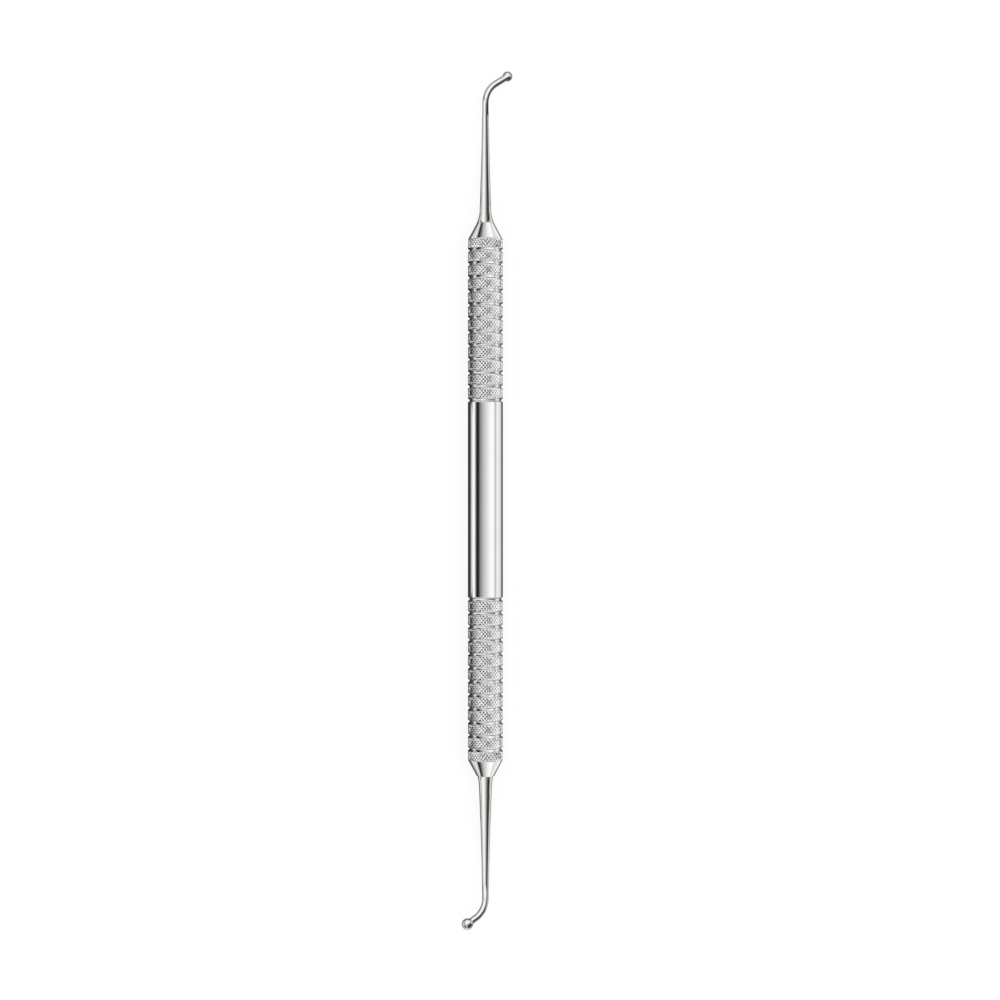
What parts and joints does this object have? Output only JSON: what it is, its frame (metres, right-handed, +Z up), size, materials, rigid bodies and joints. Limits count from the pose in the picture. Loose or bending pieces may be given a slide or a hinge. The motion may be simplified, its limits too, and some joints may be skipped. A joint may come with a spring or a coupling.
{
  "type": "dental plugger",
  "caption": "Slim double-ended steel hand instrument: a grooved, knurled handle with a bent, tapering shank and a ball at each end.",
  "frame": {"origin": "on the table that the instrument lies on, under the middle of the handle", "axes": "+Y along the handle towards the small ball end, +X to the side that the small ball points to, +Z up from the table"},
  "size_m": [0.0101, 0.1717, 0.007],
  "materials": {
    "handle_steel": "polished",
    "working_end_steel": "polished"
  },
  "bodies": {
    "root": {"handle": "handle_steel", "small_ball_end": "working_end_steel", "large_ball_end": "working_end_steel"}
  },
  "joints": []
}
